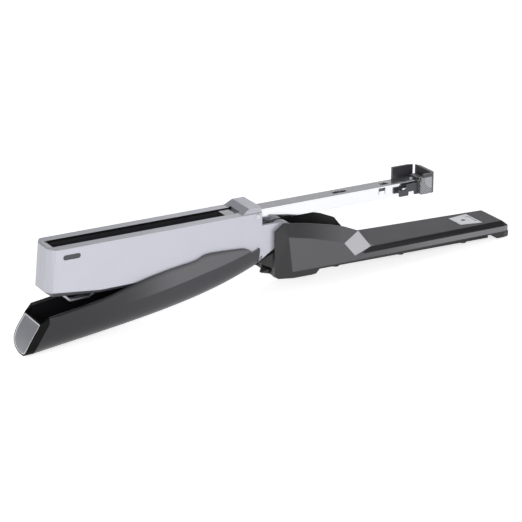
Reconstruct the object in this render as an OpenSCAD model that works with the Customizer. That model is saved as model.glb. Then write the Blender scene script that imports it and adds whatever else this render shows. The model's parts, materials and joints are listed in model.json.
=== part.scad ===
// Full-strip desktop stapler, opened flat for loading: the head lies upside down behind its base,
// the handle stands open against its stop, and the staple rail is pulled out of the head.
// Base and head are each drawn in their own upright frame, with the origin on the head hinge,
// x towards the front and z up, and are then placed as they lie when the stapler is open.
// Millimetres.

/* [Pose] */
// Angle between the base and the head when the head lies open on its stop
opening = 181; // [176:0.5:184]
// How far the staple rail is pulled out of the head
rail_out = 120.5; // [100:0.5:124]

/* [Base] */
// Height of the head hinge above the underside
hinge_height = 31; // [30:0.5:34]
// Distance from the hinge to the front of the base
base_reach = 190; // [185:1:200]
// Half-width over the hinge cheeks
cheek_half = 20; // [19.5:0.1:22]
// Half-width of the gap between the cheeks
cheek_gap_half = 15.7; // [15.6:0.1:16]
// Height of the base bar
bar_height = 11.8; // [10:0.1:11.8]
// Half-width of the bar at its front end
bar_front_half = 16.5; // [15:0.1:18]

/* [Head] */
// Half-width over the head housing
head_half = 13.85; // [13:0.05:14]
// Depth of the housing rim below the hinge
rim_drop = 18.5; // [18:0.1:19]
// Distance from the hinge to the lower edge of the nose
nose_reach = 172.4; // [171:0.1:175]
// Height of the housing's top above the hinge
head_top = 16.7; // [16:0.1:17.5]
// Half-width of the staple slot
slot_half = 6.6; // [6.4:0.05:6.8]
// Wall thickness of the housing
head_wall = 1.8; // [1.4:0.1:2]

/* [Handle] */
// Half-width over the handle
handle_half = 15.3; // [15.2:0.05:15.3]
// Distance from the hinge to the tip of the raised handle
tip_reach = 190.3; // [187:0.1:193]
// Height of the raised handle's tip above the hinge
tip_height = 54.3; // [52:0.1:58]
// Wall thickness of the handle
handle_wall = 1.15; // [1.13:0.01:1.16]

/* [Rail] */
// Half-width of the staple rail
rail_half = 5.75; // [5.5:0.05:5.9]
// Height of the staple rail
rail_height = 9.15; // [8.5:0.05:9.2]
// Half-width of the end cap
cap_half = 13.2; // [12.5:0.1:13.4]

/* [Pins] */
// Radius of the head hinge pin
hinge_pin_r = 2.5; // [2:0.1:2.8]
// Radius of the handle pin
handle_pin_r = 2; // [1.5:0.1:2.2]
// Radius of the lever pin
lever_pin_r = 1.5; // [1.2:0.1:1.8]
// Radial clearance of a turning fit
running = 0.06; // [0.02:0.01:0.1]

/* [Hidden] */
$fn = 48;
hair = 0.02;   // thickness of a plate that only shapes a hull
far = 60;      // reach of a cutting block

// Where the pieces rest: the foot of the base and the tip of the handle stand on z = 0
foot = [base_reach, -hinge_height];
tip = [tip_reach, tip_height];
past_flat = opening - 180;
base_lean = atan2(
    foot[1] + tip[0] * sin(past_flat) + tip[1] * cos(past_flat),
    foot[0] + tip[0] * cos(past_flat) - tip[1] * sin(past_flat)
);
head_turn = base_lean - opening;
foot_x = foot[0] * cos(base_lean) + foot[1] * sin(base_lean);
tip_x = tip[0] * cos(head_turn) + tip[1] * sin(head_turn);
hinge_x = -(foot_x + tip_x) / 2;
hinge_z = foot[0] * sin(base_lean) - foot[1] * cos(base_lean);

// Base
floor_z = -hinge_height;
bar_top = floor_z + bar_height;
bar_side_top = bar_top - 3.4;     // lower edge of the bevel along the bar
bar_back = 58;                    // where the bar starts between the cheeks
foot_lift = 3.7;                  // height of the bar's side walls above the foot plane
cover_z = floor_z + 1.2;          // underside of the bottom cover
well_floor = floor_z + 3;
pad_gap = 0.3;
anvil_x = 161;                    // centre of the anvil plate
cover_front = 172;
cover_back = 26;

// Head
rail_z = -rim_drop + 0.7;         // lower face of the rail in use
rail_top = rail_z + rail_height;
channel_roof = rail_top + 0.7;
slot_front = 168.5;
slot_back = 29;
head_back = 16.3;                 // rear edge of the side walls beside the rail
lug_r = 8.8;
striker_x = 167.4;
handle_pin_at = [28, 12];
lever_pin_at = [106, 4];
stud_at = [19.5, -16];

// Rail, in the head's frame with the rail fully in
rail_front = 160.5;
rail_back = 5.5;
cap_back = -4.8;
cap_low = -24;
cap_high = -9.4;

module in_base() {
    translate([hinge_x, 0, hinge_z]) rotate([0, base_lean, 0]) children();
}

module in_head() {
    translate([hinge_x, 0, hinge_z]) rotate([0, head_turn, 0]) children();
}

module in_rail() {
    in_head() translate([-rail_out, 0, 0]) children();
}

// Both sides of a symmetric piece
module both() {
    children();
    mirror([0, 1, 0]) children();
}

// A side profile of x and z, as a plate from y0 to y1
module plate(y0, y1, points) {
    translate([0, y1, 0]) rotate([90, 0, 0]) linear_extrude(y1 - y0) polygon(points);
}

// A cross profile of y and z, as a thin slice at x
module slice(x, points) {
    translate([x, 0, 0]) rotate([90, 0, 90]) linear_extrude(hair) polygon(points);
}

// A block between two corners
module block(low, high) {
    translate(low) cube(high - low);
}

// A round bar along y through [x, z], from y0 to y1
module cross_bar(at, r, y0, y1) {
    translate([at[0], y1, at[1]]) rotate([90, 0, 0]) cylinder(r = r, h = y1 - y0);
}

// ---------------------------------------------------------------- base

bar_rear_half = cheek_half - 0.3;
bar_front_pad_half = bar_front_half - 3.4;
bar_rear_pad_half = bar_rear_half - 2.4;

function bar_outline(half, pad_half, low) = [
    [-half, low], [half, low], [half - 0.4, bar_side_top], [pad_half, bar_top],
    [-pad_half, bar_top], [-half + 0.4, bar_side_top]
];

fang_half = 4.8;

cheek_profile = [
    [-5, floor_z], [-7.6, floor_z + 3], [-7.8, 3.5], [-0.6, 8.6], [15.2, 6.4], [36, 2],
    [47.8, -1.2], [58.9, -5.8], [70, bar_top], [72, floor_z + foot_lift], [20, floor_z]
];
panel_profile = [
    [5.3, floor_z], [1.1, -0.6], [17.8, -4], [33.9, -8.3], [45.9, -12.1],
    [55, bar_side_top], [56, floor_z + foot_lift], [20, floor_z]
];

module cheek() {
    hull() {
        plate(cheek_gap_half, cheek_gap_half + 1.1, cheek_profile);
        plate(cheek_half - hair, cheek_half, panel_profile);
    }
}

// A level band across the base at x, from low to high
module band(x, half, low, high) {
    slice(x, [[-half, low], [half, low], [half, high], [-half, high]]);
}

module bar_body() {
    low = floor_z + foot_lift;
    hull() {
        slice(bar_back, bar_outline(bar_rear_half, bar_rear_pad_half, low));
        slice(base_reach - 4.8, bar_outline(bar_front_half, bar_front_pad_half, low));
        band(base_reach - 0.5, bar_front_half - 1.9, low, bar_side_top);
    }
    // front foot
    hull() {
        band(cover_front + 1, bar_front_half, low, low + 0.3);
        band(cover_front + 7, bar_front_half, floor_z, low + 0.3);
        band(base_reach - 4.8, bar_front_half, floor_z, low + 0.3);
        band(base_reach - hair, bar_front_half - 1.6, floor_z, low + 0.3);
    }
}

module bar_hollow() {
    hull() {
        slice(bar_back + 6, bar_outline(bar_rear_half - 1.8, bar_rear_pad_half - 1.2, floor_z - 1));
        slice(cover_front, bar_outline(bar_front_half - 1.6, bar_front_pad_half - 1.2, floor_z - 1));
    }
}

module beak() {
    hull() {
        plate(-13, 13, [[-4, -25], [-7.4, -23.8], [-7.4, -13], [-4, -10]]);
        plate(-4, 4, [[-14.4, -20.6], [-14, -21.6], [-9, -24.4], [-10, -18]]);
    }
    // rear wall between the cheeks
    both() plate(12, cheek_gap_half + 0.4, [[-6.8, floor_z + 1], [-7.4, -23.8], [-7.4, -13], [-4, -10],
        [-2, -10], [-2, floor_z + 1]]);
    plate(-12.1, 12.1, [[-3.8, floor_z + 1], [-3.8, -24], [-2, -24], [-2, floor_z + 1]]);
}

module base_shell() {
    color("#4a4a4e") in_base() difference() {
        union() {
            both() cheek();
            bar_body();
            beak();
            // floor of the well between the cheeks, and the foot under it
            block([-5, -cheek_gap_half - 0.5, cover_z], [bar_back + 2, cheek_gap_half + 0.5, well_floor]);
            block([-5, -cheek_gap_half - 0.5, floor_z], [20, cheek_gap_half + 0.5, well_floor]);
        }
        // inside of the bar, from below
        intersection() {
            bar_hollow();
            block([bar_back + 5, -far, floor_z - 1], [cover_front + 1, far, bar_top - 2]);
        }
        // seat of the bottom cover
        block([cover_back, -15.2, floor_z - 1], [cover_front + 0.3, 15.2, cover_z + 1.4]);
        // seat of the soft pad
        block_pad(pad_gap / 2, 1);
        // raised lower edge of the cheeks in front of their foot
        both() plate(15.1, far, [
            [22.8, floor_z - 1], [23.2, floor_z], [26.8, floor_z + foot_lift],
            [66, floor_z + foot_lift], [66, floor_z - 1]
        ]);
        // hinge pin
        cross_bar([0, 0], hinge_pin_r, 2 - cheek_half, cheek_half - 2);
        // root of the staple remover
        fang_root(0);
    }
}

// The soft pad's outline, grown by a gap and sunk by a depth
module block_pad(gap, sink) {
    hull() {
        block([74 - gap, -bar_rear_pad_half + 1.4 - gap, bar_top - sink],
              [75, bar_rear_pad_half - 1.4 + gap, bar_top + hair]);
        block([base_reach - 9, -bar_front_pad_half + 0.6 - gap, bar_top - sink],
              [base_reach - 7 + gap, bar_front_pad_half - 0.6 + gap, bar_top + hair]);
    }
}

anvil_half_back = 7.8;
anvil_half_front = 10.6;
anvil_length = 17.2;
anvil_sink = 0.8;

module anvil_outline(gap) {
    polygon([
        [anvil_x - anvil_length / 2 - gap, -anvil_half_back - gap],
        [anvil_x + anvil_length / 2 + gap, -anvil_half_front - gap],
        [anvil_x + anvil_length / 2 + gap, anvil_half_front + gap],
        [anvil_x - anvil_length / 2 - gap, anvil_half_back + gap]
    ]);
}

module base_pad() {
    color("#5a5a5e") in_base() difference() {
        block_pad(0, 0.98);
        translate([0, 0, bar_top - 2]) linear_extrude(4) anvil_outline(0.05);
    }
}

module anvil_plate() {
    color("#d8d8da") in_base() difference() {
        translate([0, 0, bar_top - 0.98]) linear_extrude(1.18) anvil_outline(0);
        // pair of forming grooves under the striker
        both() translate([striker_x, 3.4, bar_top + 0.55]) rotate([90, 0, 0])
            cylinder(r = 1, h = 5.6, center = true);
        translate([anvil_x - 1, 0, bar_top - 2]) cylinder(r = 1.7, h = 4);
    }
}

module anvil_rivet() {
    color("#202022") in_base() translate([anvil_x - 1, 0, bar_top - 0.98]) cylinder(r = 1.65, h = 0.8);
}

screw_x = [84, 128, 166];

module bottom_cover() {
    color("#161618") in_base() difference() {
        union() {
            block([cover_back + 0.1, -15.1, cover_z], [cover_front, 15.1, cover_z + 1.3]);
            // ribs that reach up beside the screws
            for (x = [70, 110, 150]) block([x - 1, -8, cover_z + 1.2], [x + 1, 8, cover_z + 4.5]);
        }
        for (x = screw_x) translate([x, 0, cover_z - 1]) cylinder(r = 1.55, h = 4);
    }
}

module cover_screws() {
    color("#8a8a90") in_base() for (x = screw_x) {
        translate([x, 0, cover_z - 0.9]) cylinder(r = 2.6, h = 0.9);
        translate([x, 0, cover_z - 0.1]) cylinder(r = 1.5, h = 6);
    }
}

module foot_pads() {
    color("#2a2a2c") in_base() {
        for (x = [44, 98, 152]) both() translate([x, 11, floor_z]) cylinder(r = 3, h = 1.2);
    }
}

module fang_root(gap) {
    block([-6, gap - fang_half, floor_z + 0.2], [-1 - gap, fang_half - gap, floor_z + 3.4 - gap]);
}

module remover_fang() {
    color("#19191b") in_base() {
        fang_root(0.02);
        hull() {
            block([-6, 0.3 - fang_half, floor_z + 0.2], [-5.9, fang_half - 0.3, floor_z + 3.3]);
            block([-9.6, -1.2, floor_z + 0.2], [-9.4, 1.2, floor_z + 0.7]);
        }
    }
}

module hinge_pin() {
    color("#c8c8cc") in_base() cross_bar([0, 0], hinge_pin_r, 2.1 - cheek_half, cheek_half - 2.1);
}

// Leaf that lifts the closed head off the anvil
module lift_spring() {
    color("#b0b0b6") in_base() {
        plate(-4, 4, [
            [18, well_floor], [50, well_floor], [50, well_floor + 0.6], [19, well_floor + 0.6],
            [6, well_floor + 4.4], [5.6, well_floor + 3.8]
        ]);
    }
}

// ---------------------------------------------------------------- head

nose_top = 10.8;
nose_rake = 3;
top_chamfer = 2.6;

// Side profiles of the housing at three widths: the flat front, the top and the side wall
function front_profile(t) = [
    [head_back, -rim_drop + t], [nose_reach - t, -rim_drop + t],
    [nose_reach + nose_rake - t, nose_top], [nose_reach - 1 - t, nose_top + 2.8 - t],
    [138, head_top - 0.1 - t], [19.6, head_top - t], [head_back, head_top - 2.3 - t]
];
function side_profile(t) = [
    [head_back, -rim_drop + t], [nose_reach - 4.3 - t, -rim_drop + t],
    [nose_reach - 0.8 - t, nose_top - 0.5 - t], [138, head_top - top_chamfer - t],
    [19.6, head_top - top_chamfer - t], [head_back, head_top - 4.4 - t]
];

// The closed half of the housing on +y, shrunk by t on every side
module half_head(t) {
    hull() {
        plate(0, 6.75 - t / 2, front_profile(t));
        plate(6.75, head_half - 2.2 - t, [
            for (p = front_profile(t)) [min(p[0], nose_reach - t + (p[1] + rim_drop) * 0.1 - 2.4), p[1]]
        ]);
        plate(head_half - hair - t, head_half - t, side_profile(t));
    }
}

rear_slope = [[19.6, head_top], [6.3, 8.6], [3, 8.2], [0, lug_r], [0, -lug_r], [9, -9.2],
    [head_back + 0.1, -9.2], [head_back + 0.1, 14.3]];

module half_rear() {
    // slanted back wall
    plate(0, head_half - 1.2, [[19.7, head_top - 0.1], [6.3, 8.5], [4.8, 7.2], [6.6, 6.4],
        [19.7, head_top - 2.2]]);
    // side wall behind the rail opening
    plate(head_half - head_wall - 0.6, head_half, rear_slope);
    // hinge lug
    cross_bar([0, 0], lug_r, 7.2, head_half);
}

// Block behind the staple slot, under the rail
module half_block() {
    hull() {
        block([head_back, 0, -rim_drop - 3.7], [25.5, 12.2, -rim_drop]);
        block([head_back, 0, -rim_drop - 0.1], [31.3, 13.2, -rim_drop]);
    }
    block([head_back, 0, -rim_drop - 0.1], [slot_back, head_half - 0.5, rail_z - 0.25]);
}

module half_housing() {
    difference() {
        union() {
            difference() {
                half_head(0);
                // hollow above and below
                difference() {
                    half_head(head_wall);
                    // nose block in front of the striker
                    block([striker_x + 1, -1, -far], [nose_reach + 9, far, far]);
                    // bosses
                    cross_bar(handle_pin_at, 4, 9.5, far);
                    cross_bar(lever_pin_at, 3.5, 8.5, far);
                }
                // open back, so that the rail passes
                block([0, -1, rail_z - 0.25],
                    [head_back + 2, head_half - head_wall, head_top - head_wall - 3]);
                block([0, -1, rail_z - 0.25], [slot_back + 1, slot_half, channel_roof]);
            }
            half_rear();
            half_block();
            // rim beside the slot
            block([slot_back, slot_half, -rim_drop], [slot_front, head_half - 1, -rim_drop + 1.5]);
        }
        // staple slot
        block([slot_back, -1, -rim_drop - 1], [slot_front, slot_half, -rim_drop + 3]);
        // throat of the striker
        block([striker_x - 0.9, -1, -far], [striker_x + 1.1, slot_half + 0.1, head_top - head_wall]);
        // seat of the nose guide
        block([striker_x + 1, -1, -rim_drop - 1], [nose_reach - 1.4, slot_half + 0.1, -rim_drop + 9.2]);
        // slot in the top for the lever and the power spring
        block([58, -1, 8], [84, 3.6, head_top + 1]);
        block([131, -1, 8], [167, 8.6, head_top + 1]);
        // recess of the dark window in the side
        window_shape(head_half - 0.9, far, 0);
        // pins
        cross_bar(handle_pin_at, handle_pin_r, -1, far);
        cross_bar(lever_pin_at, lever_pin_r, -1, head_half - 0.5);
        cross_bar(stud_at, 1.7, -1, far);
        cross_bar([0, 0], hinge_pin_r + running, -far, far);
        for (at = housing_screw_at) cross_bar(at, 1.2, -1, head_half - 0.8);
    }
}

housing_screw_at = [[44, -3.6], [86, -3.6], [126, -3.6]];
window_at = [157.4, -12.6];
window_length = 12.4;
window_height = 3.4;

module window_shape(y0, y1, gap) {
    r = window_height / 2 - gap;
    d = window_length / 2 - window_height / 2;
    cross_bar([window_at[0] - d, window_at[1]], r, y0, y1);
    cross_bar([window_at[0] + d, window_at[1]], r, y0, y1);
    block([window_at[0] - d, y0, window_at[1] - r], [window_at[0] + d, y1, window_at[1] + r]);
}

module housing_left() {
    color("#c6c7cb") in_head() difference() {
        half_housing();
        block([-far, -far, -far], [nose_reach + far, 0.02, far]);
    }
}

module housing_right() {
    color("#c6c7cb") in_head() mirror([0, 1, 0]) difference() {
        half_housing();
        block([-far, -far, -far], [nose_reach + far, 0.02, far]);
    }
}

channel_wall = 0.9;

module magazine_channel() {
    color("#3a3a3e") in_head() difference() {
        block([slot_back + 2, -slot_half - channel_wall, -rim_drop + head_wall],
              [striker_x - 1, slot_half + channel_wall, channel_roof + channel_wall]);
        block([0, -slot_half, -far], [nose_reach, slot_half, channel_roof]);
    }
}

module nose_guide() {
    color("#b9babf") in_head() {
        block([striker_x + 1.05, -slot_half, -rim_drop - 0.1],
            [nose_reach - 1.5, slot_half, -rim_drop + 9]);
    }
}

module nose_windows() {
    color("#3c3d42") in_head() both() window_shape(head_half - 0.85, head_half - 0.35, 0.05);
}

module latch_studs() {
    color("#cfcfd3") in_head() both() cross_bar(stud_at, 1.7, 8, head_half + 0.5);
}

module handle_pin() {
    color("#b8b8bd") in_head()
        cross_bar(handle_pin_at, handle_pin_r, -handle_half + 0.6, handle_half - 0.6);
}

module lever_pin() {
    color("#b8b8bd") in_head() cross_bar(lever_pin_at, lever_pin_r, -head_half + 0.8, head_half - 0.8);
}

// Pair of flat steel bars that throw the striker down
module power_spring() {
    color("#9a9ba1") in_head() both() plate(4.6, 7.8, [
        [46, 4.6], [84, 9.4], [132, 12.6], [144, 19.4], [157, 19.4], [164.5, 12.2],
        [165.6, 13.2], [157.6, 20.8], [143.4, 20.8], [131.4, 14.1], [84, 11], [46, 6.2]
    ]);
}

module spring_clamp() {
    color("#8d8e94") in_head() difference() {
        block([42, -9.4, channel_roof + channel_wall + 0.1], [54, 9.4, 9]);
        both() plate(4.5, 7.9, [[40, 3.9], [60, 6.3], [60, 7.8], [40, 5.6]]);
        both() cross_bar(housing_screw_at[0], 1.3, -1, far);
    }
}

module striker_bumper() {
    color("#2d2d30") in_head() block([150, -4, channel_roof + channel_wall + 0.1], [160, 4, -5.5]);
}

module housing_screws() {
    color("#77787d") in_head() for (at = housing_screw_at)
        cross_bar(at, 1.15, -head_half + 1, head_half - 1);
}

// Rocker between the handle's rib and the striker
module trip_lever() {
    color("#a9aab0") in_head() difference() {
        union() {
            plate(-3, 3, [
                [64, 15.4], [62.6, 17.6], [64.2, 19.2], [66.6, 18.8], [102, 9], [110, 8],
                [166.2, -1.6], [167.6, -2.2], [167.6, -3.8], [166, -4.4], [108, 0], [101, 1.6]
            ]);
            cross_bar(lever_pin_at, 4.4, -3, 3);
        }
        cross_bar(lever_pin_at, lever_pin_r + running, -far, far);
    }
}

module striker() {
    color("#d0d1d6") in_head() difference() {
        block([striker_x - 0.5, -slot_half + 0.2, -rim_drop + 0.6], [striker_x + 0.5, slot_half - 0.2, 2]);
        block([striker_x - 2, -3.5, -5.6], [striker_x + 2, 3.5, -0.6]);
    }
}

// ---------------------------------------------------------------- handle

handle_tail = 18.9;
face_foot = [tip_reach - 9.4, tip_height - 23.9];   // lower edge of the front end face
face_bulge = 9.9;         // how far the end face leans out above its foot
face_half = 13.1;         // half-width of the end face
face_chamfer = 5.5;       // length of the chamfer between the side and the end face
round_depth = 15.2;
round_power = 2.6;
skirt_z = -2;             // the handle is drawn down to here, and its underside is then cut away
handle_steps = 15;
width_shares = [1, 0.98, 0.94, 0.88, 0.8, 0.7, 0.56, 0.4, 0.2];
foot_share = (face_foot[1] - skirt_z) / (tip_height - round_depth - skirt_z);
wall_shares = [0, foot_share, (2 * foot_share + 1) / 3, (foot_share + 2) / 3];

// Height of the handle's ridge above x
function ridge(x) = let (u = (tip_reach - x) / (tip_reach - handle_tail))
    tip_height - 20 * u - 12 * pow(u, 4);
// Drop of the handle's surface from its ridge, at a share of its half-width
function shoulder(share) = round_depth * (1 - sqrt(1 - pow(share, round_power)));
// Front end of the handle at height z
function front_end(z) = let (q = max(0, z - face_foot[1]) / (tip_height - face_foot[1]))
    face_foot[0] + face_bulge * pow(sin(q * 104), 1.15);

// One ring of the handle's surface, from its lower +y edge over the ridge to its lower -y edge.
// Rings 0 to handle_steps run along the body, and the last one is the outline of the end face.
function handle_ring(i, t) = let (
        body = i <= handle_steps,
        s = min(1, i / handle_steps),
        setback = body ? face_chamfer : 0,
        half = (body ? handle_half : face_half) - t,
        top = (body ? ridge(handle_tail + s * (tip_reach - face_chamfer - handle_tail)) : tip_height) - t,
        low = skirt_z - t,
        half_ring = concat([for (f = wall_shares) [1, low + f * (top - round_depth - low)]],
            [for (w = width_shares) [w, top - shoulder(w)]]),
        n = len(half_ring)
    )
    [for (k = [0:2 * n])
        let (p = k < n ? half_ring[k] : k == n ? [0, top] : half_ring[2 * n - k])
        [handle_tail + t + s * (front_end(p[1]) - setback - handle_tail - 2 * t),
         (k < n ? half : -half) * p[0], p[1]]];

// The handle as a closed solid, shrunk by t on every side
module handle_solid(t) {
    rings = [for (i = [0:handle_steps + 1]) handle_ring(i, t)];
    m = len(rings[0]);
    last = (handle_steps + 1) * m;
    polyhedron(
        points = [for (ring = rings) for (p = ring) p],
        faces = concat(
            [for (i = [0:handle_steps]) for (j = [0:m - 1]) let (a = i * m + j, b = i * m + (j + 1) % m)
                [a, a + m, b]],
            [for (i = [0:handle_steps]) for (j = [0:m - 1]) let (a = i * m + j, b = i * m + (j + 1) % m)
                [b, a + m, b + m]],
            [for (j = [0:(m - 3) / 2]) [j, j + 1, m - 1 - j]],
            [for (j = [0:(m - 5) / 2]) [j + 1, m - 2 - j, m - 1 - j]],
            [for (j = [0:(m - 3) / 2]) [last + m - 1 - j, last + j + 1, last + j]],
            [for (j = [0:(m - 5) / 2]) [last + m - 1 - j, last + m - 2 - j, last + j + 1]]
        )
    );
}

module handle_shell() {
    color("#5c5d61") in_head() difference() {
        handle_solid(0);
        handle_solid(handle_wall);
        // room for the back of the housing
        block([0, 1.25 - handle_half, 0], [44, handle_half - 1.25, 17.4]);
        // open underside and end of the tail
        plate(-far, far, [[0, -20], [tip_reach + 20, -20], [tip_reach + 20, face_foot[1] - 0.1],
            [face_foot[0] - 0.5, face_foot[1] - 0.1], [176.6, 26.2], [137, 20.6], [120, 15.7],
            [91, 9.5],
            [67, 6.2], [62, 3.6], [53, 3.2], [30.4, 4.6], [23.9, 8.8], [21.6, 15.5], [18, 17.4],
            [0, 17.4]]);
        // opening of the front insert
        face_window(0);
        cross_bar(handle_pin_at, handle_pin_r + running, -far, far);
    }
}

// D-shaped outline of the front insert, seen along x and shrunk by a gap
module face_window(gap) {
    half = 12.4 - gap;
    straight = 13;
    crown = 8.4 - gap;
    translate([face_foot[0] - 3, 0, 0]) rotate([90, 0, 90]) linear_extrude(20) polygon(concat(
        [[-half, face_foot[1] + 0.6 + gap], [half, face_foot[1] + 0.6 + gap]],
        [for (k = [0:16]) let (a = 180 * k / 16, c = cos(a))
            [sign(c) * pow(abs(c), 0.75) * half, face_foot[1] + straight + crown * pow(sin(a), 0.85)]]
    ));
}

module handle_insert() {
    color("#8e9094") in_head() intersection() {
        face_window(0.05);
        difference() {
            handle_solid(0);
            handle_solid(handle_wall);
        }
    }
}

module handle_rib() {
    color("#2b2b2e") in_head() intersection() {
        plate(-2.4, 2.4, [[62, 20.2], [68, 20.2], [72, 40], [58, 40]]);
        handle_solid(handle_wall + 0.02);
    }
}

spring_x = 88;

module handle_spring() {
    color("#c0c0c5") in_head() translate([spring_x, 0, head_top + 0.1]) difference() {
        cylinder(r = 3.6, h = 22);
        translate([0, 0, -1]) cylinder(r = 2.9, h = 24);
    }
}

// ---------------------------------------------------------------- rail

module pusher_rail() {
    color("#e6e7ea") in_rail() difference() {
        block([rail_back, -rail_half, rail_z], [rail_front, rail_half, rail_top]);
        block([rail_back - 1, -rail_half + 0.7, rail_z + 0.7],
            [rail_front - 0.8, rail_half - 0.7, rail_top + 1]);
        // slots in the web and a notch in the flanges
        block([62, -2.2, rail_z - 1], [73, 2.2, rail_z + 2]);
        block([27.5, -2.6, rail_z - 1], [34, 2.6, rail_z + 2]);
        block([32.8, -far, rail_z + 0.9], [38.4, far, rail_z + 3.2]);
        for (x = [32.8, 37.8]) block([x, -far, rail_z + 3.1], [x + 0.6, far, rail_z + 5.8]);
        // hole of the guide rod in the closed front end
        translate([rail_front - 2, 0, -13.4]) rotate([0, 90, 0]) cylinder(r = 1, h = 4);
    }
}

module end_cap() {
    color("#4b4c50") in_rail() difference() {
        union() {
            // rear wall with rounded corners
            intersection() {
                block([cap_back, -cap_half, cap_low], [16, cap_half, cap_high]);
                union() {
                    translate([cap_back + 9, cap_half - 9, cap_low]) cylinder(r = 9, h = 20);
                    translate([cap_back + 4, 4 - cap_half, cap_low]) cylinder(r = 4, h = 20);
                    block([cap_back, 4 - cap_half, cap_low], [8, cap_half - 9, cap_high]);
                    block([cap_back + 4, -cap_half, cap_low], [6, 0, cap_high]);
                    block([cap_back + 9, 0, cap_low], [16, cap_half, cap_high]);
                }
            }
        }
        // hollow in front of the wall, leaving the centre block and the far wing
        difference() {
            block([cap_back + 2.4, -cap_half + 1.9, cap_low - 1], [20, cap_half - 1.9, cap_low + 9.6]);
            block([0, -5, cap_low + 4.6], [5.4, 5, cap_high]);
        }
        block([rail_back, -far, cap_low + 9.4], [20, cap_half - 1.9, far]);
        block([rail_back + 0.2, -far, -far], [20, cap_half - 1.9, far]);
        block([cap_back + 9, cap_half - 1.95, -14], [20, far, far]);
        // pocket of the release tab
        block([cap_back + 3, -far, cap_low + 2], [8, -cap_half + 4.2, far]);
    }
}

module guide_rod() {
    color("#b5b6bb") in_rail() translate([rail_back + 0.1, 0, -13.4]) rotate([0, 90, 0])
        cylinder(r = 0.95, h = rail_front - rail_back - 0.3);
}

module rail_rivets() {
    color("#9fa0a6") in_rail() translate([7.6, 0, rail_z - 0.55]) cylinder(r = 1.5, h = 0.5);
}

module pusher_spring() {
    color("#c0c0c5") in_rail() translate([rail_back + 1, 0, -13.4]) rotate([0, 90, 0]) difference() {
        cylinder(r = 2.6, h = 138);
        translate([0, 0, -1]) cylinder(r = 1.9, h = 140);
    }
}

pusher_back = 145.5;
pusher_front = 159;

module pusher() {
    color("#e2e3e6") in_rail() difference() {
        union() {
            block([pusher_back, -4.6, rail_z + 1.2], [pusher_front, 4.6, rail_top + 0.3]);
            block([pusher_back + 2, -6.2, rail_top + 0.12], [pusher_front, 6.2, rail_top + 0.45]);
            both() block([pusher_back + 2, 5.9, rail_top - 4], [pusher_front, 6.2, rail_top + 0.3]);
        }
        translate([0, 0, -13.4]) rotate([0, 90, 0]) cylinder(r = 1.05, h = 200);
    }
}

module release_tab() {
    color("#77797d") in_rail() difference() {
        union() {
            block([cap_back + 3.3, -cap_half, cap_low + 2.3], [7.6, -cap_half + 2.8, cap_high]);
            block([5, -cap_half + 1.2, -19.5], [9, -cap_half + 3.8, -10.5]);
            block([8, -10.6, rail_z + 0.3], [23.6, -8.9, -9.6]);
        }
        // fork round the latch stud
        cross_bar(stud_at, 2, -far, far);
        block([stud_at[0], -far, stud_at[1] - 2], [40, -8, stud_at[1] + 2]);
        block([11, -far, -12.4], [16.4, -8, -5]);
    }
}

base_shell();
base_pad();
anvil_plate();
anvil_rivet();
bottom_cover();
cover_screws();
foot_pads();
remover_fang();
hinge_pin();
lift_spring();
housing_left();
housing_right();
magazine_channel();
nose_guide();
nose_windows();
latch_studs();
handle_pin();
lever_pin();
power_spring();
spring_clamp();
striker_bumper();
housing_screws();
trip_lever();
striker();
handle_shell();
handle_insert();
handle_rib();
handle_spring();
pusher_rail();
end_cap();
guide_rod();
rail_rivets();
pusher_spring();
pusher();
release_tab();
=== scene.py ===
"""A full-strip desktop stapler, opened flat for loading.

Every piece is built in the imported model's own frame, in metres. The base and the head each have an
upright frame of their own, with the origin on the head hinge, x towards the front and z up. The rail's
frame is the head's, shifted by the rail's travel. Outlines are drawn in those frames, in millimetres.
"""

import json
import math

import bpy
from bpy.props import FloatProperty, FloatVectorProperty, IntProperty, PointerProperty
from mathutils import Matrix, Vector


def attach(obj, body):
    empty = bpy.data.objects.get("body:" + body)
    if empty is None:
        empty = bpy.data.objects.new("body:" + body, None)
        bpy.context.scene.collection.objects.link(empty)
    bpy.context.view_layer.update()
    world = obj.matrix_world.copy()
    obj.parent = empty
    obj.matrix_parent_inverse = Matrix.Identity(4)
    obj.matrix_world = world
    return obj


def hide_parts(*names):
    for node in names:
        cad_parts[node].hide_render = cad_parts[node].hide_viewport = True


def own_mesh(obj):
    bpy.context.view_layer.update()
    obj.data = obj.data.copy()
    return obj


bl_info = {
    "name": "Desktop stapler",
    "version": (1, 0, 0),
    "blender": (4, 5, 0),
    "location": "View3D > Sidebar > Stapler",
    "description": "Builds the visible pieces of a full-strip desktop stapler around its packed model",
    "category": "Object",
}

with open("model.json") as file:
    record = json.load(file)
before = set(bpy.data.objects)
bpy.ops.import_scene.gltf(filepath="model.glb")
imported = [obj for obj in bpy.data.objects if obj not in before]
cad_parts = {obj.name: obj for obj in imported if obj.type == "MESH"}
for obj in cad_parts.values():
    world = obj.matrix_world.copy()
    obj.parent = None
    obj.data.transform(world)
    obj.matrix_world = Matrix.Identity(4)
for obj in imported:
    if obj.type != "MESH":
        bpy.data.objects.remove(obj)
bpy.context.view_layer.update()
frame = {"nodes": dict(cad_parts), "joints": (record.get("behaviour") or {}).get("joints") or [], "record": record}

MM = 0.001
JOINTS = {joint["name"]: joint for joint in frame["joints"]}


def placed_frame(turn):
    """The upright frame of the base or the head, as it lies in the open stapler."""
    hinge = Vector(JOINTS["head_hinge"]["pos_m"])
    return Matrix.Translation(hinge) @ Matrix.Rotation(turn, 4, "Y")


forward = JOINTS["rail_slide"]["axis"]
down = frame["record"]["mounts"][0]["axis"]
HEAD = placed_frame(math.atan2(-forward[2], forward[0]))
BASE = placed_frame(math.atan2(-down[0], -down[2]))
RAIL = HEAD @ Matrix.Translation((-JOINTS["rail_slide"]["range_m"][1], 0, 0))


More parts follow.
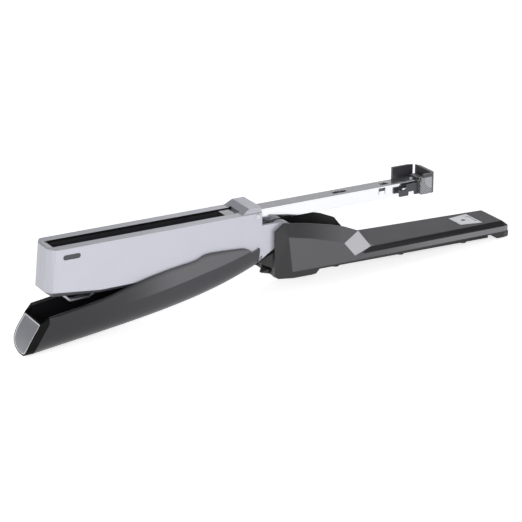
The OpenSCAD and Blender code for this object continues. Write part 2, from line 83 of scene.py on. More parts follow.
def place_in(part, x, y, z):
    """A place in a part's frame, from millimetres."""
    return part @ (Vector((x, y, z)) * MM)


# ---------------------------------------------------------------- sizes and colours


def colour(name, description, value):
    """A colour property from an sRGB hex value, kept as linear light."""
    parts = [int(value[i : i + 2], 16) / 255 for i in (0, 2, 4)]
    linear = [c / 12.92 if c < 0.04045 else ((c + 0.055) / 1.055) ** 2.4 for c in parts]
    return FloatVectorProperty(
        name=name, description=description, subtype="COLOR", size=3, min=0, max=1, default=linear
    )


def length(name, description, value):
    """A length property in metres, from a value in millimetres."""
    return FloatProperty(
        name=name, description=description, unit="LENGTH", default=value * MM, min=0, precision=5
    )


class StaplerSizes(bpy.types.PropertyGroup):
    """Sizes that only change how the pieces look."""

    edge_radius: length("Edge radius", "Rounding on the edges of the moulded pieces", 0.45)
    metal_edge: length("Metal edge radius", "Rounding on the edges of the steel pieces", 0.22)
    lip_width: length("Lip width", "Width of the raised lip around the handle's end plate", 0.75)
    lip_height: length("Lip height", "Height of the raised lip around the handle's end plate", 0.3)
    handle_wire: length("Handle spring wire", "Wire radius of the coil under the handle", 0.4)
    handle_turns: IntProperty(
        name="Handle spring turns", description="Turns of the handle's coil", default=9, min=4
    )
    pusher_wire: length("Pusher spring wire", "Wire radius of the long coil in the rail", 0.3)
    pusher_turns: IntProperty(
        name="Pusher spring turns", description="Turns of the rail's coil", default=58, min=10
    )


class StaplerColours(bpy.types.PropertyGroup):
    """Colours of the stapler's finishes."""

    silver: colour("Housing silver", "Satin silver of the two housing halves", "b1b2ba")
    # Painted shade: the housing's front faces and its chamfers are drawn in deeper silvers.
    painted_nose_shade: colour("Housing nose", "Deeper silver of the housing's front faces", "9d9ea5")
    painted_chamfer_shade: colour("Housing chamfer", "Deeper silver of the housing's chamfers", "55555a")
    charcoal: colour("Handle charcoal", "Moulded charcoal of the handle", "2c2c30")
    # Painted highlight: the facet along the handle's lower edge is drawn lighter than the body.
    painted_facet_light: colour("Handle facet grey", "Lighter facet along the handle's lower edge", "525154")
    # Painted shade: the handle's front end is drawn in a deeper tone.
    painted_front_shade: colour("Handle front", "Deeper tone of the handle's front end", "131316")
    # Painted shade: the chamfer and frame around the handle's front end are drawn near-black.
    painted_rim_shade: colour("Handle rim", "Near-black chamfer around the handle's front end", "0a0a0b")
    # Painted light and shade on the base: darker upward bevels and bar bevel, lighter fronts of the cheek bevels
    # and bar sides, and a lighter front facet.
    painted_upper_shade: colour("Base upper charcoal", "Darker bevels and rear of the base", "29292c")
    painted_cheek_highlight: colour("Cheek bevel", "Lighter front end of the bevel along the cheeks", "505053")
    painted_bevel_shade: colour("Bar bevel", "Dark bevel along the bar", "19191b")
    painted_bar_highlight: colour("Bar side", "Lighter front end of the bar's side", "69696c")
    facet: colour("Base facet", "Light facet in front of the cheeks", "a9a8ab")
    insert: colour("End plate grey", "Soft grey of the plate in the handle's front end", "6b6c71")
    # Painted highlight: the lip around the end plate is drawn in a lighter grey than the plate.
    lip: colour("Lip grey", "Lighter grey of the lip around the end plate", "b9babd")
    base: colour("Base charcoal", "Moulded charcoal of the base", "47474a")
    pad: colour("Pad grey", "Grey of the soft pad on the base", "515156")
    cap: colour("End cap black", "Black of the rail's end cap", "38383c")
    claw: colour("Release tab grey", "Grey of the release tab", "8f9094")
    # This black is the own colour of the cover, the fang and the rib, and is also used for painted shade on the
    # base's inner and rear faces, the housing's slot walls and the handle's cavity.
    black: colour("Black plastic", "Black of the cover, the fang and the handle rib", "161618")
    rubber: colour("Rubber", "Black rubber of the feet and the bumper", "1a1a1b")
    chrome: colour("Chrome", "Plated steel of the rail", "e9eaec")
    bright: colour("Bright steel", "Bright steel of the anvil, nosepiece and studs", "c9cacd")
    zinc: colour("Zinc", "Zinc-plated steel of pins, screws and levers", "a3a4a9")
    dark_steel: colour("Blackened steel", "Blackened steel of the magazine channel", "3a3a3e")
    smoke: colour("Smoked window", "Smoked plastic of the nose windows", "2a2b30")
    floor: colour("Floor", "Pale floor", "fbfbfb")


def sizes():
    return bpy.context.scene.stapler_sizes


def colours():
    return bpy.context.scene.stapler_colours


# ---------------------------------------------------------------- finishes

EDGE_SAMPLES = 6
COAT_ROUGHNESS = 0.12


def shade(tone, factor):
    """A tone made darker or lighter, up to white."""
    return [min(1, c * factor) for c in tone]


class Surface:
    """The node tree of one finish, read in object space, with the nodes that the finishes share."""

    def __init__(self, name):
        self.material = bpy.data.materials.new(name)
        self.material.use_nodes = True
        self.tree = self.material.node_tree
        self.shader = self.tree.nodes["Principled BSDF"]
        self.place = self.add("ShaderNodeTexCoord")

    def add(self, kind, entries=None, **settings):
        """A new node, with its settings and the values of its entries."""
        node = self.tree.nodes.new(kind)
        for key, value in settings.items():
            setattr(node, key, value)
        for key, value in (entries or {}).items():
            node.inputs[key].default_value = value
        return node

    def join(self, source, output, target, entry):
        """Links one node into another, and gives the second."""
        self.tree.links.new(source.outputs[output], target.inputs[entry])
        return target

    def give(self, **values):
        """Sets the shader's own entries."""
        for key, value in values.items():
            self.shader.inputs[key.replace("_", " ")].default_value = value

    def noise(self, scale, detail, rough):
        """Cloudy noise over the surface."""
        node = self.add("ShaderNodeTexNoise", {"Scale": scale, "Detail": detail, "Roughness": rough})
        return self.join(self.place, "Object", node, "Vector")

    def step(self, source, output, low, high, first=0.0, last=1.0):
        """Turns a reading between low and high into one between first and last."""
        ends = {"From Min": low, "From Max": high, "To Min": first, "To Max": last}
        return self.join(source, output, self.add("ShaderNodeMapRange", ends), "Value")

    def multiply(self, source, output, other, other_output):
        """One reading times another."""
        node = self.add("ShaderNodeMath", operation="MULTIPLY")
        self.join(source, output, node, 0)
        return self.join(other, other_output, node, 1)

    def product(self, *masks):
        """A mask that is 1 only where all of the masks are."""
        result = masks[0]
        for mask in masks[1:]:
            result = self.multiply(result, 0, mask, 0)
        return result

    def either_sign(self, source, output):
        """A reading with its sign dropped."""
        return self.join(source, output, self.add("ShaderNodeMath", operation="ABSOLUTE"), 0)

    def spot(self):
        """The place on the surface, split by axis."""
        return self.join(self.place, "Object", self.add("ShaderNodeSeparateXYZ"), "Vector")

    def facing(self):
        """The direction that a face looks in, split by axis."""
        geometry = self.add("ShaderNodeNewGeometry")
        return self.join(geometry, "True Normal", self.add("ShaderNodeSeparateXYZ"), "Vector")

    def slope(self, axis, low, high):
        """A mask that runs from 0 to 1 as faces turn along an axis."""
        return self.step(self.facing(), axis, low, high)

    def ramp(self, start, end):
        """A soft mask that runs from 0 at one place to 1 at another."""
        span = (end - start) / (end - start).length_squared
        along = self.add("ShaderNodeVectorMath", {1: span}, operation="DOT_PRODUCT")
        self.join(self.place, "Object", along, 0)
        ends = {"From Min": start.dot(span), "From Max": 1 + start.dot(span)}
        soft = self.add("ShaderNodeMapRange", ends, interpolation_type="SMOOTHSTEP")
        return self.join(along, "Value", soft, "Value")

    def blend(self, first, second, source, output):
        """A colour that runs from one tone to another with a reading."""
        tones = {"A": (*first, 1), "B": (*second, 1)}
        return self.join(source, output, self.add("ShaderNodeMix", tones, data_type="RGBA"), "Factor")

    def layer(self, painted, tone, mask):
        """A tone laid over a painted colour where the mask is 1."""
        over = self.add("ShaderNodeMix", {"B": (*tone, 1)}, data_type="RGBA")
        self.join(mask, 0, over, "Factor")
        return self.join(painted, "Result", over, "A")

    def relief(self, source, output, strength, depth, edge):
        """Rounded edges, and fine relief up to a depth in millimetres."""
        rounding = self.add("ShaderNodeBevel", {"Radius": edge}, samples=EDGE_SAMPLES)
        bump = self.add("ShaderNodeBump", {"Strength": strength, "Distance": depth * MM})
        self.join(source, output, bump, "Height")
        self.join(rounding, "Normal", bump, "Normal")
        self.join(bump, "Normal", self.shader, "Normal")

    def paint(self, painted, gloss):
        """Joins the colour and the gloss to the shader, and gives the finished material."""
        self.join(painted, "Result", self.shader, "Base Color")
        self.join(gloss, "Result", self.shader, "Roughness")
        return self.material


def moulded(
    name, tone, rough, grain, depth, spread, coat=0.0, specular=0.5, metallic=0.0, zones=None
):
    """Moulded or painted surface: fine spark grain, slight tone drift, and uneven gloss from handling."""
    surface = Surface(name)
    surface.give(
        Metallic=metallic, Specular_IOR_Level=specular, Coat_Weight=coat, Coat_Roughness=COAT_ROUGHNESS
    )
    drift = surface.noise(38.0, 4.0, 0.55)
    painted = surface.blend(shade(tone, 1 - spread), shade(tone, 1 + spread), drift, "Fac")
    # Zones lay further tones over it: painted light and shade on the housing, handle and base, and the grip arcs
    # and claw on the release tab.
    for zone_tone, mask in zones(surface) if zones else []:
        painted = surface.layer(painted, zone_tone, mask)
    handling = surface.noise(95.0, 6.0, 0.7)
    gloss = surface.step(handling, "Fac", 0.3, 0.7, rough - 0.05, rough + 0.06)
    spark = surface.noise(1 / (grain * MM), 3.0, 0.6)
    surface.relief(spark, "Fac", 1.0, depth, sizes().edge_radius)
    return surface.paint(painted, gloss)


def plated(name, tone, rough, streak, depth, spread, haze=0.08, edge=None, top=None):
    """Plated or drawn steel: fine drawing lines along the streak, with a soft haze of wear, and painted shade on
    upward faces when top is given.
    """
    surface = Surface(name)
    surface.give(Metallic=1.0)
    stretch = surface.add("ShaderNodeMapping", {"Scale": streak})
    surface.join(surface.place, "Object", stretch, "Vector")
    lines = surface.add("ShaderNodeTexNoise", {"Scale": 2600.0, "Detail": 3.0, "Roughness": 0.5})
    surface.join(stretch, "Vector", lines, "Vector")
    surface.relief(lines, "Fac", 0.3, depth, sizes().metal_edge if edge is None else edge)
    wear = surface.noise(70.0, 7.0, 0.65)
    gloss = surface.step(wear, "Fac", 0.35, 0.7, rough, rough + haze)
    painted = surface.blend(shade(tone, 1 - spread), tone, wear, "Fac")
    # Painted shade: faces turned upwards are darkened by the top factor
    if top:
        painted = surface.layer(painted, shade(tone, top), surface.slope("Z", 0.5, 0.7))
    return surface.paint(painted, gloss)


def soft_pad(name, tone):
    """Soft pad: fine leather-like pebble with a dull sheen."""
    surface = Surface(name)
    surface.give(Specular_IOR_Level=0.35)
    pebble = surface.add("ShaderNodeTexVoronoi", {"Scale": 1500.0, "Smoothness": 0.6}, feature="SMOOTH_F1")
    surface.join(surface.place, "Object", pebble, "Vector")
    surface.relief(pebble, "Distance", 0.8, 0.05, sizes().edge_radius)
    drift = surface.noise(55.0, 5.0, 0.6)
    painted = surface.blend(shade(tone, 0.9), shade(tone, 1.1), drift, "Fac")
    return surface.paint(painted, surface.step(drift, "Fac", 0, 1, 0.5, 0.64))


# Places where the tones of the base and the release tab change, in millimetres; most of the base's tones are
# painted light and shade
CHEEK_FRONT = 62
BAR_BACK = 64
STRIP_TOP = -26.1
SLOT_WALL = 6.7
ARC_CENTRE = (-3.2, -13.2, -20.8)
ARC_STEP = 0.6
ARC_START = 7.6
CLAW_BACK = 7.7


def base_light_and_shade_zones(surface):
    """Painted light and shade on the base: a lighter front facet, lighter fronts of the cheek bevels and bar
    sides, darker upward bevels, black inner and rear faces, and black along the lowest part of the side wall.
    """

    def along(start, end):
        return surface.ramp(place_in(BASE, start, 0, 0), place_in(BASE, end, 0, 0))

    facet = surface.product(surface.slope("X", 0.12, 0.15), surface.slope("Z", 0.09, 0.11))
    upper = surface.slope("Z", 0.22, 0.26)
    side = surface.slope("Z", 0.2, 0.16)
    outward = surface.multiply(surface.facing(), "Y", surface.spot(), "Y")
    c = colours()
    # Painted highlight on the facet and on the fronts of the cheek bevels and bar sides; painted shade on upward
    # faces, the bar's bevel, inner faces and rear faces; black along the wall's foot
    return [
        (c.facet, facet),
        (c.painted_upper_shade, upper),
        (c.painted_cheek_highlight, surface.product(upper, along(BAR_BACK, CHEEK_FRONT), along(8, 56))),
        (c.painted_bevel_shade, surface.product(upper, along(CHEEK_FRONT, BAR_BACK))),
        (c.painted_bar_highlight, surface.product(side, along(60, 150))),
        (c.black, surface.ramp(place_in(BASE, 0, 0, STRIP_TOP), place_in(BASE, 0, 0, STRIP_TOP - 0.5))),
        (c.black, surface.step(outward, "Value", -6 * MM, -8 * MM)),
        (c.black, surface.slope("X", -0.15, -0.2)),
    ]


def housing_shade_zones(surface):
    """Painted shade on the housing: a deeper silver on its front faces and on its chamfers that face downwards,
    and black on the walls of its staple slot.
    """
    sideways = surface.either_sign(surface.facing(), "Y")
    leaning = surface.step(sideways, "Value", 0.3, 0.36)
    chamfer = surface.product(leaning, surface.slope("Z", -0.2, -0.26))
    away = surface.either_sign(surface.spot(), "Y")
    inside = surface.step(away, "Value", (SLOT_WALL + 0.05) * MM, (SLOT_WALL - 0.05) * MM)
    slot = surface.product(inside, surface.step(sideways, "Value", 0.85, 0.95))
    c = colours()
    return [
        # Painted shade on the front faces, the chamfers and the slot walls
        (c.painted_nose_shade, surface.slope("X", -0.35, -0.5)),
        (c.painted_chamfer_shade, chamfer),
        (c.black, slot),
    ]


def tab_zones(surface):
    """The tab's dark claw, and the fine grip arcs on its face."""
    claw = surface.ramp(place_in(RAIL, CLAW_BACK, 0, -14), place_in(RAIL, CLAW_BACK + 0.1, 0, -14))
    reach = surface.add("ShaderNodeVectorMath", {1: place_in(RAIL, *ARC_CENTRE)}, operation="DISTANCE")
    surface.join(surface.place, "Object", reach, 0)
    wave = surface.add("ShaderNodeMath", {1: ARC_STEP * MM}, operation="PINGPONG")
    surface.join(reach, "Value", wave, 0)
    line = surface.step(wave, "Value", 0.3 * MM, 0.12 * MM)
    band = surface.step(reach, "Value", ARC_START * MM, (ARC_START + 0.2) * MM)
    return [(colours().cap, surface.product(line, band)), (colours().cap, claw)]


def handle_front_shade_zones(surface):
    """Painted shade: the handle's tone deepens towards its front end."""
    return [(colours().painted_front_shade, surface.ramp(place_in(HEAD, 70, 0, 20), place_in(HEAD, 170, 0, 38)))]


def facet_highlight_zones(surface):
    """The facet's painted highlight, fading into the body's charcoal towards the front, with the painted front
    shade laid over it.
    """
    fade = surface.ramp(place_in(HEAD, 82, 0, 20), place_in(HEAD, 126, 0, 20))
    return [(colours().charcoal, fade), *handle_front_shade_zones(surface)]


FINISHES = {}
EVEN = (1, 1, 1)
ALONG = (0.04, 1, 1)
ACROSS = (1, 0.05, 1)


def finish(name):
    """The finish of that name, made on first use."""
    if name in FINISHES:
        return FINISHES[name]
    c = colours()
    makers = {
        # Satin silver, with painted shade on its front faces, chamfers and slot walls
        "housing_silver_and_shade": lambda: moulded(
            name, c.silver, 0.34, 0.22, 0.012, 0.03, coat=0.15, metallic=0.35, zones=housing_shade_zones
        ),
        # Handle charcoal, with painted shade towards the front end
        "handle_charcoal_and_shade": lambda: moulded(name, c.charcoal, 0.34, 0.4, 0.02, 0.05, zones=handle_front_shade_zones),
        # The facet's lighter grey is a painted highlight
        "handle_facet_light_and_shade": lambda: moulded(name, c.painted_facet_light, 0.4, 0.4, 0.03, 0.05, zones=facet_highlight_zones),
        # Painted shade: the inside of the handle's wall is drawn black
        "handle_cavity_shade": lambda: moulded(name, c.black, 0.22, 0.6, 0.01, 0.1, coat=0.3),
        # Painted shade: near-black chamfer and frame at the front end, with little specular
        "handle_edge_shade": lambda: moulded(name, c.painted_rim_shade, 0.6, 0.5, 0.02, 0.1, specular=0.08),
        "end_plate": lambda: moulded(name, c.insert, 0.48, 0.3, 0.04, 0.05),
        # The lip's lighter grey is a painted highlight
        "end_plate_lip_highlight": lambda: moulded(name, c.lip, 0.4, 0.3, 0.01, 0.04),
        # Base charcoal, with painted light and shade on its facet, bevels, sides, inner faces and rear
        "base_charcoal_light_and_shade": lambda: moulded(name, c.base, 0.36, 0.4, 0.02, 0.05, zones=base_light_and_shade_zones),
        "base_pad": lambda: soft_pad(name, c.pad),
        "cap_black": lambda: moulded(name, c.cap, 0.3, 0.5, 0.015, 0.08, coat=0.2),
        "claw_grey": lambda: moulded(name, c.claw, 0.36, 0.4, 0.02, 0.06, zones=tab_zones),
        "plain_black": lambda: moulded(name, c.black, 0.38, 0.5, 0.03, 0.1),
        "rubber": lambda: moulded(name, c.rubber, 0.72, 0.25, 0.06, 0.12, specular=0.25),
        # Chrome, with painted shade on its upward faces
        "rail_chrome_and_shade": lambda: plated(name, c.chrome, 0.1, ALONG, 0.002, 0.03, haze=0.05, top=0.65),
        "bright_steel": lambda: plated(name, c.bright, 0.24, ACROSS, 0.0008, 0.04),
        "anvil_steel": lambda: plated(
            name, c.bright, 0.3, ACROSS, 0.0004, 0.03, haze=0.05, edge=0.03 * MM
        ),
        "zinc": lambda: plated(name, c.zinc, 0.3, EVEN, 0.008, 0.12, haze=0.12),
        "spring_wire": lambda: plated(name, c.zinc, 0.2, EVEN, 0.004, 0.08),
        "blackened_steel": lambda: moulded(
            name, c.dark_steel, 0.4, 0.2, 0.008, 0.1, specular=0.4, metallic=0.4
        ),
        "smoked_window": lambda: moulded(name, c.smoke, 0.12, 0.9, 0.002, 0.1, coat=0.5),
    }
    FINISHES[name] = makers[name]()
    return FINISHES[name]


def coat(**finish_of):
    """Gives each named CAD node its finish."""
    for node, name in finish_of.items():
        for slot in frame["nodes"][node].material_slots:
            slot.material = finish(name)


# ---------------------------------------------------------------- mesh helpers

SHARP_FROM = 16     # degrees between faces from which an edge is shaded sharp
CLOSED_GAP = 1.05   # pitch of a spring's closed end turns, in wire widths


def new_piece(name, body, finishes, mesh, replaced=()):
    """Puts a mesh in the scene as a piece that rides on a body."""
    piece = bpy.data.objects.new(name, mesh)
    bpy.context.scene.collection.objects.link(piece)
    for name_of_finish in finishes:
        mesh.materials.append(finish(name_of_finish))
    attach(piece, body)
    if replaced:
        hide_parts(*replaced)
    return piece


def mesh_of(name, points, faces, part, finish_of=()):
    """A mesh from points in a part's frame, in millimetres, with each face's pick of the finishes."""
    mesh = bpy.data.meshes.new(name)
    mesh.from_pydata([place_in(part, *point) for point in points], [], faces)
    mesh.polygons.foreach_set("use_smooth", [True] * len(mesh.polygons))
    for face, index in zip(mesh.polygons, finish_of):
        face.material_index = index
    mesh.validate()
    mesh.update()
    mesh.set_sharp_from_angle(angle=math.radians(SHARP_FROM))
    return mesh


def strip_faces(ring, count, closed):
    """Faces between one ring of points and the next."""
    faces = []
    for j in range(count if closed else count - 1):
        a, b = ring * count + j, ring * count + (j + 1) % count
        faces.append((a, b, b + count, a + count))
    return faces


def coil(name, start, end, radius, wire, turns, closed_turns=1.5, around=8, per_turn=20):
    """A coil spring from start to end, with closed end turns."""
    axis = (end - start).normalized()
    side = axis.orthogonal().normalized()
    other = axis.cross(side)
    height = (end - start).length
    open_turns = turns - 2 * closed_turns
    closed = closed_turns * 2 * wire * CLOSED_GAP
    steps = int(turns * per_turn)
    points = []
    for i in range(steps + 1):
        turn = turns * i / steps
        if turn < closed_turns:
            rise = closed * turn / closed_turns
        elif turn > turns - closed_turns:
            rise = height - 2 * wire - closed * (turns - turn) / closed_turns
        else:
            rise = closed + (height - 2 * wire - 2 * closed) * (turn - closed_turns) / open_turns
        angle = 2 * math.pi * turn
        out = side * math.cos(angle) + other * math.sin(angle)
        centre = start + axis * (rise + wire) + out * radius
        for k in range(around):
            a = 2 * math.pi * k / around
            points.append(centre + out * (wire * math.cos(a)) + axis * (wire * math.sin(a)))
    faces = [face for i in range(steps) for face in strip_faces(i, around, closed=True)]
    faces.append(tuple(reversed(range(around))))
    faces.append(tuple(steps * around + k for k in range(around)))
    mesh = bpy.data.meshes.new(name)
    mesh.from_pydata(points, [], faces)
    mesh.polygons.foreach_set("use_smooth", [True] * len(mesh.polygons))
    mesh.update()
    return mesh


def between(x, table):
    """Straight-line reading of a table of (x, value) pairs."""
    if x <= table[0][0]:
        return table[0][1]
    for (x0, v0), (x1, v1) in zip(table, table[1:]):
        if x <= x1:
            return v0 + (v1 - v0) * (x - x0) / (x1 - x0)
    return table[-1][1]


# ------------------------------------------- handle surface, in the head's frame, in millimetres

TIP_REACH = 190.3
TIP_HEIGHT = 54.3
TAIL = 18.9
FACE_FOOT = (TIP_REACH - 9.4, TIP_HEIGHT - 23.9)
FACE_BULGE = 9.9
BULGE_TURN = 104        # degrees of the sine that shapes the bulge
HANDLE_HALF = 15.3
FACE_HALF = 13.1
FACE_CHAMFER = 5.5
FRAME_WIDTH = 0.62      # frame around the end plate
ROUND_DEPTH = 15.2      # depth of the rounded shoulder under the ridge
ROUND_POWER = 2.6       # 2 is an ellipse, more is squarer
WALL = 1.15
CREASE_DROP = 4.2       # the side's crease lies this far below the start of the shoulder
CREASE_LEAN = 0.03      # how far the side leans in above the crease, per millimetre
UNDERSIDE = [
    (18.0, 17.5), (21.6, 15.6), (23.9, 8.9), (26.5, 6.6), (30.4, 4.7), (40, 3.9), (53, 3.3), (58, 3.3),
    (62, 3.9), (64.5, 5.2), (67, 6.3), (72, 7.2), (91, 9.6), (105, 12.4), (120, 15.8), (137, 20.7),
    (156, 23.5), (176.6, 26.3), (FACE_FOOT[0] - 0.5, FACE_FOOT[1] - 0.1), (200, FACE_FOOT[1]),
]
STATIONS = [18.9, 20, 20.8, 21.6, 22.4, 23.2, 23.9, 25, 26.5, 28.4, 30.4, 33, 36, 40, 45, 50, 54, 58]
STATIONS += [60, 62, 64.5, 67, 69.5, 72] + [76 + 4.97 * k for k in range(21)]

# Points up the side and around the shoulder
SIDE_STEPS = 7
CREASE_STEPS = 3
ROUND_STEPS = 13
PLATE_SIDE_STEPS = 8
PLATE_ROUND_STEPS = 16
SETTLE_ROUNDS = 12

# The wall's inner side takes the finish two places on in this list. The facet's finish is a painted highlight; the
# edge and cavity finishes are painted shade on the front chamfer and inside the wall.
HANDLE_FINISHES = (
    "handle_charcoal_and_shade", "handle_facet_light_and_shade", "handle_cavity_shade", "handle_edge_shade", "handle_cavity_shade", "handle_cavity_shade"
)
BODY, FACET, RIM = 0, 1, 3
INNER_SHIFT = 2
PLATE_FINISHES = ("end_plate", "end_plate_lip_highlight")
PLATE, LIP = 0, 1


def clamp(value):
    return min(1.0, max(0.0, value))


def levels(low, high, steps):
    """Evenly spaced heights, from low to one step under high."""
    return [low + (high - low) * k / steps for k in range(steps)]


def underside(x):
    """Height of the handle's lower edge at x, eased along the long front part."""
    reach = min(7.0, max(1.0, (x - 68) / 4)) if x < 165 else max(0.8, (182 - x) / 6)
    return sum(between(x + reach * k / 4, UNDERSIDE) for k in range(-4, 5)) / 9


def ridge(x):
    """Height of the handle's ridge at x."""
    u = (TIP_REACH - x) / (TIP_REACH - TAIL)
    return TIP_HEIGHT - 20 * u - 12 * u**4


def front_end(z):
    """Reach of the bulging front end at a height."""
    q = max(0.0, z - FACE_FOOT[1]) / (TIP_HEIGHT - FACE_FOOT[1])
    return FACE_FOOT[0] + FACE_BULGE * math.sin(math.radians(q * BULGE_TURN)) ** 1.15


def shoulder(half, flat_top, top, steps):
    """Half widths and heights around the shoulder, up to the ridge."""
    turns = [math.pi / 2 * k / steps for k in range(steps + 1)]
    return [
        (half * abs(math.cos(a)) ** (2 / ROUND_POWER), flat_top + (top - flat_top) * math.sin(a))
        for a in turns
    ]


def whole_section(half):
    """Both halves of a section, from the lower +y edge over the ridge to the lower -y edge."""
    return half + [(x, -y, z) for x, y, z in reversed(half[:-1])]


def handle_section(s, setback, half, top, low_rule):
    """A cross section of the handle at a share s of its length, with its lower edge set by a rule."""
    flat_top = top - ROUND_DEPTH

    def at(z):
        return TAIL + s * (front_end(z) - setback - TAIL)

    # the lower edge depends on its own reach, so it is settled in rounds
    low = flat_top
    for _ in range(SETTLE_ROUNDS):
        low = min(flat_top - 0.5, low_rule(at(low)))
    lean = CREASE_LEAN * clamp((1 - s) * 3)
    drop = CREASE_DROP * (0.5 + 0.5 * clamp((at(low) - TAIL) / 43))
    crease = flat_top - drop
    if crease < low + 0.5:
        side = levels(low, flat_top, SIDE_STEPS)
    else:
        side = levels(low, crease, SIDE_STEPS - CREASE_STEPS) + levels(crease, flat_top, CREASE_STEPS)
    section = [(at(z), half - lean * max(0.0, z - crease), z) for z in side]
    section += [(at(z), y, z) for y, z in shoulder(half - lean * drop, flat_top, top, ROUND_STEPS)]
    return whole_section(section)


def window_ring(inset, side_steps, round_steps, depth=0.0):
    """D-shaped outline of the end plate's opening, drawn in by an inset and set back by a depth."""
    half = FACE_HALF - FRAME_WIDTH - inset
    low, top = FACE_FOOT[1] + 0.6 + inset, TIP_HEIGHT - 1.1 - inset
    flat_top = TIP_HEIGHT - ROUND_DEPTH
    outline = [(half, z) for z in levels(low, flat_top, side_steps)]
    outline += shoulder(half, flat_top, top, round_steps)
    return whole_section([(front_end(z) + depth, y, z) for y, z in outline])


def handle_skin_mesh():
    """Outer skin of the handle: body rings, front chamfer, and the frame around the end plate."""
    rings = []
    for x in STATIONS:
        s = (x - TAIL) / (STATIONS[-1] - TAIL)
        top = ridge(TAIL + s * (TIP_REACH - FACE_CHAMFER - TAIL))
        rings.append(handle_section(s, FACE_CHAMFER, HANDLE_HALF, top, underside))
    rings.append(handle_section(1, 0, FACE_HALF, TIP_HEIGHT, lambda x: FACE_FOOT[1]))
    rings.append(window_ring(0.0, SIDE_STEPS, ROUND_STEPS))

    count = len(rings[0])
    body_end = len(rings) - 3       # the chamfer and the frame come after this ring
    facet_end = body_end - 11
    faces, kinds = [], []
    for i in range(len(rings) - 1):
        strip = strip_faces(i, count, closed=i == len(rings) - 2)
        faces += strip
        for j in range(len(strip)):
            under_crease = min(j, count - 2 - j) < SIDE_STEPS - CREASE_STEPS
            kinds.append(RIM if i >= body_end else FACET if under_crease and i < facet_end else BODY)
    # back wall of the tail, as bands between its two sides
    for j in range(count // 2):
        k = count - 1 - j
        faces.append((j, k, k - 1, j + 1) if k - 1 > j + 1 else (j, k, j + 1))
        kinds.append(BODY)
    return mesh_of("handle_skin", [point for ring in rings for point in ring], faces, HEAD, kinds)


def end_plate_mesh(lip_width, lip_height):
    """The D-shaped end plate with its raised lip."""
    w, h = lip_width / MM, lip_height / MM
    shells = [(0.06, -0.95), (0.06, -0.12), (0.18, 0), (w - 0.12, 0), (w, -0.1), (w + 0.08, -h)]
    shells += [(w + 0.6, -h)] + [(w + 1.25 * k, -h) for k in range(1, 6)]
    points = []
    for inset, depth in shells:
        points += window_ring(inset, PLATE_SIDE_STEPS, PLATE_ROUND_STEPS, depth)
    count = len(points) // len(shells)
    faces, kinds = [], []
    for i in range(len(shells) - 1):
        faces += strip_faces(i, count, closed=True)
        kinds += [LIP if 1 <= i <= 4 else PLATE] * count
    # the flat plate inside the last ring, as bands between its two sides
    last = (len(shells) - 1) * count
    for j in range(count // 2 - 1):
        k = count - 1 - j
        faces.append((last + j, last + j + 1, last + k - 1, last + k))
        kinds.append(PLATE)
    return mesh_of("end_plate", points, faces, HEAD, kinds)


# ---------------------------------------------------------------- springs and stage

HANDLE_COIL_FOOT = (88, 0, 16.8)
HANDLE_COIL_HEAD = (88, 0, 38.8)
HANDLE_COIL_RADIUS = 3.25
PUSHER_COIL_BACK = (6.5, 0, -13.4)
PUSHER_COIL_FRONT = (144.5, 0, -13.4)
PUSHER_COIL_RADIUS = 2.3

FLOOR_HALF = 2500
FLOOR_DROP = 0.02
FLOOR_GLOW = 0.62
HORIZON = (0.8, 0.8, 0.81, 1)
ZENITH = (0.16, 0.16, 0.17, 1)
LIGHTS = {      # place in metres, side in metres, power in watts
    "front_light": ((-0.75, -1.5, 0.55), 1.1, 19.0),
    "side_light": ((-1.3, -0.2, 0.4), 0.7, 5.0),
    "rear_light": ((0.7, 0.9, 0.9), 0.6, 3.0),
}
CAMERA_AIM = (-0.00795, 0, 0.02239)
CAMERA_PLACE = (-0.62576, -1.14851, 0.55414)
CAMERA_ROLL = -2.837
CAMERA_LENS = 140.457


# ---------------------------------------------------------------- operators


class StaplerOperator(bpy.types.Operator):
    """Shared settings of the build operators."""

    bl_options = {"REGISTER", "UNDO"}


class STAPLER_OT_base_shell(StaplerOperator):
    """Moulded base with its cheeks, bar and foot"""

    bl_idname = "stapler.base_shell"
    bl_label = "Base shell"

    def execute(self, context):
        coat(base_shell="base_charcoal_light_and_shade")
        return {"FINISHED"}


class STAPLER_OT_base_pad(StaplerOperator):
    """Soft pad on the base bar"""

    bl_idname = "stapler.base_pad"
    bl_label = "Base pad"

    def execute(self, context):
        coat(base_pad="base_pad")
        return {"FINISHED"}


class STAPLER_OT_anvil(StaplerOperator):
    """Clincher plate and its rivet"""

    bl_idname = "stapler.anvil"
    bl_label = "Anvil"

    def execute(self, context):
        coat(anvil_plate="anvil_steel", anvil_rivet="plain_black")
        return {"FINISHED"}


class STAPLER_OT_base_hardware(StaplerOperator):
    """Cover, screws, feet, staple remover, hinge pin and lift spring of the base"""

    bl_idname = "stapler.base_hardware"
    bl_label = "Base hardware"

    def execute(self, context):
        coat(
            bottom_cover="plain_black",
            cover_screws="zinc",
            foot_pads="rubber",
            remover_fang="plain_black",
            hinge_pin="zinc",
            lift_spring="spring_wire",
        )
        return {"FINISHED"}


class STAPLER_OT_housing(StaplerOperator):
    """Two halves of the head housing"""

    bl_idname = "stapler.housing"
    bl_label = "Housing"

    def execute(self, context):
        coat(housing_left="housing_silver_and_shade", housing_right="housing_silver_and_shade")
        return {"FINISHED"}


class STAPLER_OT_nose(StaplerOperator):
    """Nosepiece, side windows and latch studs"""

    bl_idname = "stapler.nose"
    bl_label = "Nose"

    def execute(self, context):
        coat(nose_guide="bright_steel", nose_windows="smoked_window", latch_studs="bright_steel")
        return {"FINISHED"}


